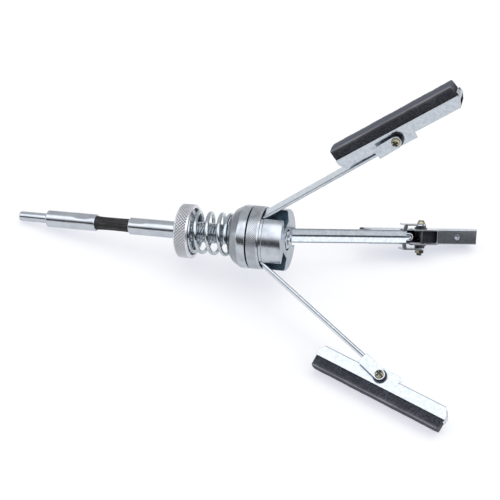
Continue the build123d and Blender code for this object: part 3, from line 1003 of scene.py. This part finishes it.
@dataclass
class Tension:
    """Knurled nut, thrust washer, spring and collar."""

    tool: Place
    looks: Looks
    nut_x: float = 138.8
    nut_width: float = 11.1
    nut_r: float = 21.0
    nut_edge: float = 0.9
    rim_lip: float = 0.5
    recess_r: float = 17.9
    recess_lip: float = 0.8
    recess_depth: float = 4.4
    # painted shade in the nut's front recess
    recess_shade: float = 0.75
    bore_r: float = 8.06
    knurl_pitch: float = 2.5  # coarser than the real knurl, so that it shows
    knurl_depth: float = 0.5
    # painted shade in the knurl's grooves
    knurl_shade: float = 0.95
    nut_segments: int = 720
    spring_seat: float = 8.5  # from the nut's rear face to the washer's front
    spring_touch: float = 0.05
    spring_r: float = 17.0
    wire_r: float = 1.55
    spring_start: float = 110.0
    spring_pitch: float = 9.4
    end_turns: float = 0.75
    end_pitch: float = 3.3
    coil_steps: int = 420
    smooth_steps: int = 20
    wire_sides: int = 20
    joint_x: float = 170.5
    collar_x0: float = 180.5
    collar_x1: float = 196.6
    collar_r: float = 24.4
    collar_bevel: float = 0.4
    cone: tuple[Pair, ...] = ((0.0, 16.4), (3.7, 21.0), (9.3, 24.1))
    rim_start: float = 10.3
    cone_end: float = 9.6
    # painted shade on the cone
    cone_shade: float = 0.42
    push_r: float = 12.0
    push_x: float = 200.59

    def knurl(self) -> Knurl:
        """The nut's knurl.

        Returns:
            The knurl, between the rim's two bevels.
        """
        x0 = self.nut_x + self.nut_edge
        x1 = self.nut_x + self.nut_width - self.nut_edge - self.rim_lip
        return Knurl(self.knurl_pitch, self.nut_r, self.knurl_depth, x0, x1, self.knurl_shade)

    def nut_shade(self, x: Array, r: Array, turn: Array) -> Array:
        """The painted shade on the nut.

        Args:
            x: stations.
            r: the profile's radii there.
            turn: angles.

        Returns:
            The knurl's painted shade, and recess_shade of painted shade in the recess.
        """
        recess_x = self.nut_x + self.nut_width - self.recess_depth
        inside = (r < self.recess_r + 0.3) & (x > recess_x - 0.01)
        return self.knurl().shade(x, r, turn) + np.where(inside, self.recess_shade, 0)

    def nut(self) -> Object:
        """The nut.

        Returns:
            The nut, turned, with a diamond knurl on its rim and a recess in front.
        """
        x0, x1, r, edge = self.nut_x, self.nut_x + self.nut_width, self.nut_r, self.nut_edge
        recess_x, recess_r, lip = x1 - self.recess_depth, self.recess_r, self.recess_lip
        rim = divided([(x0 + edge, r), (x1 - edge - self.rim_lip, r)], 0.2)
        front = rounded([(x1 - edge, r - 0.002), (x1, r - edge), (x1, recess_r + lip),
                         (x1 - lip, recess_r), (recess_x, recess_r), (recess_x, self.bore_r)], 0.2)
        profile = [(x0, self.bore_r), (x0, r - edge)] + rim + front
        return turned_piece("tension_nut_knurled", profile, self.tool, self.looks[Look.KNURLED],
                            self.nut_segments, self.knurl().relief, self.nut_shade, 50.0)

    def spring(self) -> list[Object]:
        """The spring: a helix with a closed turn at each end, wire carried along it.

        Along the wire, x rises by end_pitch a turn at the ends and by spring_pitch between, and
        is then smoothed with a bell-shaped window.

        Returns:
            Its two lengths, which meet at joint_x.
        """
        x0 = self.nut_x + self.spring_seat + self.wire_r + self.spring_touch
        x1 = self.collar_x0 - self.wire_r - self.spring_touch
        ends, rise = self.end_turns, self.end_turns * self.end_pitch
        total = (x1 - x0 - 2 * rise) / self.spring_pitch + 2 * ends
        t = np.linspace(0, total, self.coil_steps)
        x = np.interp(t, [0, ends, total - ends, total], [x0, x0 + rise, x1 - rise, x1])
        soft = np.hanning(2 * self.smooth_steps + 1)
        padded = np.pad(x, self.smooth_steps, mode="reflect", reflect_type="odd")
        x = np.convolve(padded, soft / soft.sum(), mode="valid")
        turn = math.radians(self.spring_start) + 2 * math.pi * t
        coil = self.spring_r - self.wire_r
        path = self.tool.put(np.stack([x, coil * np.cos(turn), coil * np.sin(turn)], -1))
        normal = np.stack([np.zeros_like(t), np.cos(turn), np.sin(turn)], -1) @ self.tool.axes.T
        cut = int(np.searchsorted(x, self.joint_x))
        parts = {"spring_nut_side": slice(0, cut + 1), "spring_collar_side": slice(cut, None)}
        return [tube_piece(name, path[part], normal[part], self.wire_r * MM,
                           self.looks[Look.WIRE], self.wire_sides)
                for name, part in parts.items()]

    def squeeze(self, length: Object) -> None:
        """Gives one length of the spring its own copy of its mesh.

        Args:
            length: the length of spring.
        """
        anchor = self.tool.put(np.array([self.joint_x, 0.0, 0.0]))
        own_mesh(length)

    def collar_shade(self, x: Array, r: Array, turn: Array) -> Array:
        """Painted shade on the cone, which darkens it against the rim."""
        return np.where(x < self.collar_x0 + self.cone_end, self.cone_shade, 0)

    def collar(self) -> Object:
        """The pressure collar.

        Returns:
            The collar, turned: cone, shoulder, rim, and the inner sleeve that presses the heels.
        """
        x0, x1, r, bevel = self.collar_x0, self.collar_x1, self.collar_r, self.collar_bevel
        outer = [(x0, self.bore_r)] + [(x0 + x, at) for x, at in self.cone]
        outer += [(x0 + self.rim_start, r), (x1 - bevel, r), (x1, r - bevel), (x1, self.push_r),
                  (self.push_x, self.push_r), (self.push_x, self.bore_r)]
        return turned_piece("pressure_collar_cone", rounded(outer, 0.5), self.tool,
                            self.looks[Look.TURNED], 160, None, self.collar_shade, 24.0)

    def build(self) -> None:
        """Builds and rides the pieces."""
        stand_for(self.nut(), "tension_nut", "tension_nut")
        nut_side, collar_side = self.spring()
        for length in (nut_side, collar_side):
            stand_for(length, RIDE_CORE, "tension_spring")
        self.squeeze(nut_side)
        self.squeeze(collar_side)
        stand_for(self.collar(), "pressure_collar", "pressure_collar")
        dress("thrust_washer", self.looks[Look.TURNED])


@dataclass
class Head:
    """Slotted head with its knurled ring, pins, washer and nut."""

    tool: Place
    looks: Looks
    ring_r: float = 24.2
    ring_bore: float = 22.2
    ring_bevel: float = 0.5
    front_lip: Pair = (1.25, 23.45)
    x0: float = 197.4
    x1: float = 206.98
    knurl_pitch: float = 1.6  # coarser than the real knurl, so that it shows
    knurl_depth: float = 0.11
    # painted shade in the knurl's grooves
    knurl_shade: float = 0.55
    head_r: float = 23.8

    def ring(self) -> Object:
        """The knurled ring.

        Returns:
            The ring, turned, with a plain edge on each side of its knurl.
        """
        x0, x1, r, bore, bevel = self.x0, self.x1, self.ring_r, self.ring_bore, self.ring_bevel
        run, lip = self.front_lip
        band = divided([(x0 + bevel, r), (x1 - 1.3, r)], 0.2)
        front = [(x1 - bevel, r - 0.15), (x1, r - bevel), (x1, lip), (x1 - run, bore)]
        knurl = Knurl(self.knurl_pitch, r, self.knurl_depth, x0 + bevel, x1 - 1.5, self.knurl_shade)
        return turned_piece("knurled_ring_band", [(x0, bore), (x0, r - bevel)] + band + front,
                            self.tool, self.looks[Look.TURNED], 960, knurl.relief, knurl.shade,
                            50.0)

    def walls(self, centres: Array, normals: Array) -> Array:
        """The finish numbers of the head's faces.

        Args:
            centres: the faces' centres.
            normals: the faces' normals.

        Returns:
            1 for the walls of its three slots, 2 for its front face, each for its painted shade, 0
            for the rest.
        """
        at = self.tool.local(centres)
        facing = normals @ self.tool.axes
        radial = np.linalg.norm(at[:, 1:], axis=1)
        outward = np.abs(np.sum(at[:, 1:] * facing[:, 1:], axis=1)) / np.maximum(radial, 0.1)
        wall = (np.abs(facing[:, 0]) < 0.5) & (outward < 0.9) & (radial < self.head_r - 0.4)
        return np.where(wall, 1, np.where(facing[:, 0] > 0.9, 2, 0))

    def build(self) -> None:
        """Builds and rides the pieces."""
        stand_for(self.ring(), RIDE_CORE, "knurled_ring")
        # the slots' walls and the front face get painted shade
        finish = [self.looks[look] for look in (Look.TURNED, Look.OILED, Look.FACED)]
        body = softened("head_body", "slotted_head", 0.25, finish, self.walls)
        stand_for(body, RIDE_CORE, "head_body")
        for node in ("head_washer", "head_nut"):
            piece = softened(node, node + "_piece", 0.15, finish[:1])
            stand_for(piece, RIDE_CORE, node)
        dress("arm_pivot_pins", self.looks[Look.SHEET])


@dataclass
class LegDress:
    """One leg: arm, holder, stone and swivel pieces."""

    leg: Leg
    looks: Looks
    length: float = 101.6
    half_width: float = 5.3
    back: float = 2.6
    face: float = 14.75
    offset: float = 2.4
    s_steps: int = 150
    round_steps: int = 96
    end_run: float = 2.0
    end_round: float = 1.3
    edge_wear: float = 0.7
    wear: float = 0.4
    wear_waves: tuple[Triple, ...] = ((0.14, 0.21, 1), (0.1, 0.57, 2), (0.07, 1.31, 0))
    arm_length: float = 138.3
    strip_drop: float = 3.7
    strip: Pair = (2.4, 131.0)
    nose_start: float = 123.6
    seam_press: float = 1.15
    nose_press: float = 0.25
    fold_w: float = 4.9
    fold_mark_w: float = 5.05
    fold_mark_half: float = 0.45
    fold_deep: Pair = (0.55, 1.17)
    fold_run: Pair = (2.0, 124.0)
    # painted shade along the folds of the flaps
    fold_shade: float = 0.5
    ear_start: float = 119.0
    ear_w: float = 9.2
    crease_deg: float = 13.0
    recess_r: float = 1.9
    recess_w: Pair = (11.4, 13.1)
    between_walls: float = 10.0
    head_w: float = 10.7
    head_core: float = 2.3
    head_share: float = 0.88
    arm_edge: float = 0.22
    holder_edge: float = 0.26
    screw_edge: float = 0.3
    nut_edge: float = 0.2
    cuts: tuple[float, ...] = (2.5, 8, 30, 55, 80, 105, 118, 123.5, 125.5)

    def stone(self) -> Object:
        """The stone: a rounded section carried along s, its edges rounded by uneven wear.

        Returns:
            The new object. A section point is the box's edge in its direction, with the
            corner's radius taken off and put back round the corner. The radius is three waves
            along s, and grows in a quarter circle towards the ends.
        """
        place = pin_place(self.leg, True)
        s = np.linspace(-self.length / 2, self.length / 2, self.s_steps)
        turn = np.linspace(0, 2 * math.pi, self.round_steps, endpoint=False)
        middle, half = (self.back + self.face) / 2, (self.face - self.back) / 2
        wear = self.wear + sum(height * np.sin(s * rate + shift * WEAR_START[self.leg])
                               for height, rate, shift in self.wear_waves)
        end = np.clip((self.length / 2 - np.abs(s)) / self.end_run, 0, 1)
        shrink = (1 - np.sqrt(1 - (1 - end) ** 2)) * self.end_round
        radius = (wear + shrink)[:, None]
        c, n = np.cos(turn)[None, :], np.sin(turn)[None, :]
        flat_w, flat_h = self.half_width - radius, half - radius
        scale = 1 / np.maximum(np.abs(c) / flat_w, np.abs(n) / flat_h)
        w = np.clip(c * scale, -flat_w, flat_w) + radius * c
        h = np.clip(n * scale, -flat_h, flat_h) + radius * n
        side, rise = self.half_width - np.abs(w), half - h
        # the working face's mark stands partly for its dust and partly for a painted sheen
        marks = {"wear_and_painted_light": np.exp(-np.maximum(side, rise) / self.edge_wear),
                 "worked_face_and_sheen": np.clip(1.6 - rise / 0.5, 0, 1)}
        x = np.repeat(s[:, None] + self.offset, len(turn), axis=1)
        poles = [[x[0, 0], 0, middle], [x[-1, 0], 0, middle]]
        points, faces = capped(place.put(np.stack([x, w, h + middle], -1)).reshape(-1, 3),
                               place.put(np.array(poles)), len(s), False)
        return new_piece(self.leg.value + "_stone_bar", points, faces, self.looks[Look.STONE],
                         50.0, {key: np.append(values, [0, 0]) for key, values in marks.items()})

    def cut_across(self, mesh: Mesh, place: Place) -> None:
        """Divides the strip's long faces at stations along it, so that a pressed flap stays flat.

        Args:
            mesh: the arm's mesh.
            place: the frame at the swivel pin.
        """
        work = bmesh.new()
        work.from_mesh(mesh)
        for station in self.cuts:
            at = place.put(np.array([station - self.arm_length, 0.0, 0.0]))
            bmesh.ops.bisect_plane(work, geom=work.verts[:] + work.edges[:] + work.faces[:],
                                   dist=1e-7, plane_co=at.tolist(),
                                   plane_no=place.axes[:, 0].tolist())
        work.to_mesh(mesh)
        work.free()

    def sharp(self, mesh: Mesh) -> Array:
        """The weight of a mesh's edges: 1 where two faces meet at over 60 degrees, else 0.

        Args:
            mesh: the arm's mesh.

        Returns:
            The weights, edge by edge, from the two faces' normals at each edge.
        """
        loops = read(mesh.loops, "edge_index", kind=np.int32)
        sizes = read(mesh.polygons, "loop_total", kind=np.int32)
        normals = read(mesh.polygons, "normal", 3)
        face = np.repeat(np.arange(len(sizes)), sizes)
        order = np.argsort(loops, kind="stable")
        found, first, count = np.unique(loops[order], return_index=True, return_counts=True)
        pair = count == 2
        one, two = face[order[first[pair]]], face[order[first[pair] + 1]]
        weights = np.zeros(len(mesh.edges), np.float32)
        weights[found[pair]] = np.sum(normals[one] * normals[two], axis=1) < 0.5
        return weights

    def pressed_arm(self) -> Object:
        """The arm with its two folded flaps pressed in towards the seam to a shallow V.

        Returns:
            A merged copy of the CAD arm. Points of the flaps go in by seam_press at the seam, by
            less the nearer they are to the fold, and by nose_press on the narrow nose.
        """
        node = self.leg.value + "_arm"
        mesh = merged(node, node + "_strip", False)
        place = pin_place(self.leg, False)
        self.cut_across(mesh, place)
        at = place.local(read(mesh.vertices, "co", 3))
        along, aside = at[:, 0] + self.arm_length, np.abs(at[:, 1])
        below = at[:, 2] + self.strip_drop * along / self.arm_length
        on_strip = (along > self.strip[0]) & (along < self.strip[1])
        press = np.where(along > self.nose_start, self.nose_press, self.seam_press)
        at[:, 2] += np.where((aside < self.fold_w) & (below < -0.05) & on_strip,
                             press * (1 - aside / self.fold_w), 0)
        reshape(mesh, place, at)
        # Painted shade: a thin dark line along each fold of the flaps.
        deep = np.abs(below)
        folded = (deep > self.fold_deep[0]) & (deep < self.fold_deep[1])
        folded &= (along > self.fold_run[0]) & (along < self.fold_run[1])
        folded &= np.abs(aside - self.fold_mark_w) < self.fold_mark_half
        mark(mesh, "shade", np.where(folded, self.fold_shade, 0))
        on_ear = (aside > self.ear_w) & (along > self.ear_start)
        both = on_ear[read(mesh.edges, "vertices", 2, np.int32)].all(axis=1)
        mark(mesh, "bevel_weight_edge", np.where(both, self.sharp(mesh), 0), "EDGE")
        mesh.set_sharp_from_angle(angle=math.radians(self.crease_deg))
        for look in (Look.SHEET, Look.SHEARED):
            mesh.materials.append(self.looks[look])
        piece = linked(node + "_strip", mesh)
        # the ears' rounded edges get the finish with the painted highlight
        broken_edges(piece, self.arm_edge, "WEIGHT", 1)
        return piece

    def off_middle(self, centres: Array, normals: Array) -> Array:
        """The finish numbers of the screw's faces.

        Args:
            centres: the faces' centres.
            normals: the faces' normals; not used.

        Returns:
            1, painted shade, for its shank between the walls and for the cross recess, 0 for the
            rest.
        """
        at = pin_place(self.leg, False).local(centres)
        aside = np.abs(at[:, 1])
        recess = np.hypot(at[:, 0], at[:, 2]) < self.recess_r
        recess &= (aside > self.recess_w[0]) & (aside < self.recess_w[1])
        recess &= np.sign(at[:, 1]) == HEAD_SIDE[self.leg].value
        return (aside < self.between_walls) | recess

    def slim_head(self, screw: Object) -> None:
        """Draws the screw's head in a little, round its cross recess.

        Points of the head outside the recess come nearer to the pin's line by head_share.

        Args:
            screw: the screw's piece.
        """
        place = pin_place(self.leg, False)
        at = place.local(read(screw.data.vertices, "co", 3))
        outside = np.hypot(at[:, 0], at[:, 2]) > self.head_core
        in_head = outside & (at[:, 1] * HEAD_SIDE[self.leg].value > self.head_w)
        at[:, [0, 2]] *= np.where(in_head, self.head_share, 1.0)[:, None]
        reshape(screw.data, place, at)

    def build(self) -> None:
        """Builds and rides the pieces."""
        looks, name = self.looks, self.leg.value
        arm, holder = name + "_arm", name + "_holder"
        stand_for(self.stone(), holder, name + "_stone")
        stand_for(self.pressed_arm(), arm, arm)
        # the channel's rounded edges get the finish with the painted highlight
        channel = softened(name + "_stone_holder", name + "_channel", self.holder_edge,
                           [looks[Look.SHEET], looks[Look.SHEARED]], None, 1)
        stand_for(channel, holder, name + "_stone_holder")
        screw = softened(name + "_swivel_screw", name + "_pan_screw", self.screw_edge,
                         [looks[Look.YELLOW], looks[Look.DARK]], self.off_middle)
        self.slim_head(screw)
        stand_for(screw, arm, name + "_swivel_screw")
        nut = softened(name + "_swivel_nut", name + "_hex_nut", self.nut_edge,
                       [looks[Look.YELLOW]])
        stand_for(nut, arm, name + "_swivel_nut")
        dress(name + "_swivel_washers", looks[Look.DARK])


@dataclass
class Studio:
    """White floor, a white sheet of light overhead, a soft lamp behind, and the camera."""

    tool: Place
    camera_at: Triple = (442.048, -698.574, 531.468)
    camera_right: Triple = (0.95849, 0.269799, -0.09222)
    camera_up: Triple = (-0.089644, 0.59219, 0.800796)
    lens: float = 85.667
    front: Triple = (0.19, -0.98, 0.0)
    front_span: float = 0.55
    sky: tuple[Pair, ...] = ((0, 0.06), (21, 0.07), (31, 1.2), (42, 1.85),
                                            (90, 1.85), (101, 0.72), (180, 0.66))
    soft_share: float = 0.82
    lamp_power: float = 0.55
    lamp_width: float = 45.0
    lamp_from: Triple = (0.05, 0.25, 0.96)
    floor_colour: Quad = (0.46, 0.44, 0.385, 1.0)
    floor_white: Quad = (0.84, 0.88, 1.0, 1.0)
    floor_share: float = 0.63
    floor_half: float = 40.0

    def aim(self, data: ID, right: Array, up: Array, back: Array, at: Array) -> Object:
        """An object whose axes point right, up and back.

        Args:
            data: its camera or lamp.
            right: its x direction.
            up: its y direction.
            back: its z direction, away from what it looks at.
            at: where it is, in metres.

        Returns:
            The new object.
        """
        matrix = np.eye(4)
        matrix[:3] = np.stack([right, up, back, at], axis=1)
        rig = linked(data.name, data)
        rig.matrix_world = Matrix(matrix.tolist())
        return rig

    def camera(self) -> None:
        """The camera at the photograph's place, from its position and axes in the tool frame."""
        data = bpy.data.cameras.new("camera")
        data.lens = self.lens
        data.sensor_width = 36.0
        data.clip_start, data.clip_end = 0.05, 100.0
        right = unit(self.tool.axes @ np.array(self.camera_right))
        up = unit(self.tool.axes @ np.array(self.camera_up))
        at = self.tool.put(np.array(self.camera_at))
        bpy.context.scene.camera = self.aim(data, right, up, np.cross(right, up), at)

    def shown(self, tree: NodeTree) -> NodeSocket:
        """Tells the rays that see a surface from those that light the piece.

        Args:
            tree: the tree of the world or of the floor.

        Returns:
            A socket that is 1 for camera, glossy and transmission rays, and else 0.
        """
        path = add(tree, "LightPath")
        seen = add(tree, "Math", {"operation": "ADD"},
                   i_0=path.outputs["Is Camera Ray"], i_1=path.outputs["Is Glossy Ray"])
        return add(tree, "Math", {"operation": "ADD", "use_clamp": True},
                   i_0=seen, i_1=path.outputs["Is Transmission Ray"])

    def world(self) -> None:
        """A studio: dark low in front, a white sheet from there over the top, grey behind.

        A direction's place in sky is its angle from straight up, with a sign that goes from
        front to back, laid on 0 to 180 degrees.
        """
        world = bpy.data.worlds.new("studio")
        bpy.context.scene.world = world
        world.use_nodes = True
        tree = world.node_tree
        tree.nodes.clear()
        way = add(tree, "TexCoord").outputs["Generated"]
        parts = add(tree, "SeparateXYZ", Vector=way)
        flat = add(tree, "VectorMath", {"operation": "MULTIPLY"}, i_0=way, i_1=(1.0, 1.0, 0.0))
        level = add(tree, "VectorMath", {"operation": "NORMALIZE"}, i_0=flat)
        facing = add(tree, "VectorMath", {"operation": "DOT_PRODUCT"}, i_0=level, i_1=self.front)
        side = add(tree, "MapRange", i_0=facing.outputs["Value"],
                   i_1=-self.front_span, i_2=self.front_span, i_3=-1.0, i_4=1.0)
        height = add(tree, "Math", {"operation": "ARCCOSINE"}, i_0=parts.outputs[2])
        turned = add(tree, "Math", {"operation": "MULTIPLY"}, i_0=height, i_1=side)
        share = add(tree, "Math", {"operation": "MULTIPLY_ADD"}, i_0=turned,
                    i_1=-1 / math.pi, i_2=0.5)
        ramp = add(tree, "ValToRGB", Fac=share)
        while len(ramp.color_ramp.elements) < len(self.sky):
            ramp.color_ramp.elements.new(0.5)
        for element, (degrees, white) in zip(ramp.color_ramp.elements, self.sky):
            element.position = degrees / 180
            element.color = (white, white, white * 1.02, 1.0)
        power = add(tree, "Math", {"operation": "MULTIPLY_ADD"}, i_0=self.shown(tree),
                    i_1=1 - self.soft_share, i_2=self.soft_share)
        light = add(tree, "Background", Color=ramp, Strength=power)
        add(tree, "OutputWorld", Surface=light)

    def lamp(self) -> None:
        """A broad soft lamp high behind, not mirrored by metal: it draws the shadows forwards."""
        data = bpy.data.lights.new("soft_lamp", "SUN")
        data.energy, data.angle = self.lamp_power, math.radians(self.lamp_width)
        away = unit(np.array(self.lamp_from))
        right = unit(np.cross([0.0, 1.0, 0.0], away))
        rig = self.aim(data, right, np.cross(away, right), away, np.zeros(3))
        rig.visible_glossy = False

    def floor(self) -> None:
        """A wide white sheet at z = 0, whose shadows stay pale and faintly blue.

        Part of its white is a glow that is seen and mirrored, and doesn't light the piece.
        """
        material = bpy.data.materials.new("paper_floor")
        material.use_nodes = True
        tree = material.node_tree
        tree.nodes.clear()
        shade = add(tree, "BsdfDiffuse", Color=self.floor_colour)
        power = add(tree, "Math", {"operation": "MULTIPLY"}, i_0=self.shown(tree),
                    i_1=self.floor_share)
        glow = add(tree, "Emission", Color=self.floor_white, Strength=power)
        both = add(tree, "AddShader", i_0=shade, i_1=glow)
        add(tree, "OutputMaterial", Surface=both)
        corners = np.array([[-1, -1, 0], [1, -1, 0], [1, 1, 0], [-1, 1, 0]]) * self.floor_half
        new_piece("floor_sheet", corners, [[0, 1, 2, 3]], material)

    def build(self) -> None:
        """Builds the stage."""
        self.camera()
        self.world()
        self.lamp()
        self.floor()


def main() -> None:
    """Builds the hone's pieces in order."""
    logging.basicConfig(level=logging.INFO)
    bpy.context.scene.view_settings.view_transform = "Standard"
    tool = tool_place(Tension.nut_x)
    axis = tuple(float(c) for c in tool.axes[:, 0])
    looks = {finish.look: finish.make() for finish in finishes(axis)}
    DriveEnd(tool, looks).build()
    Tension(tool, looks).build()
    Head(tool, looks).build()
    for leg in Leg:
        LegDress(leg, looks).build()
    Studio(tool).build()


if __name__ == "__main__":
    main()
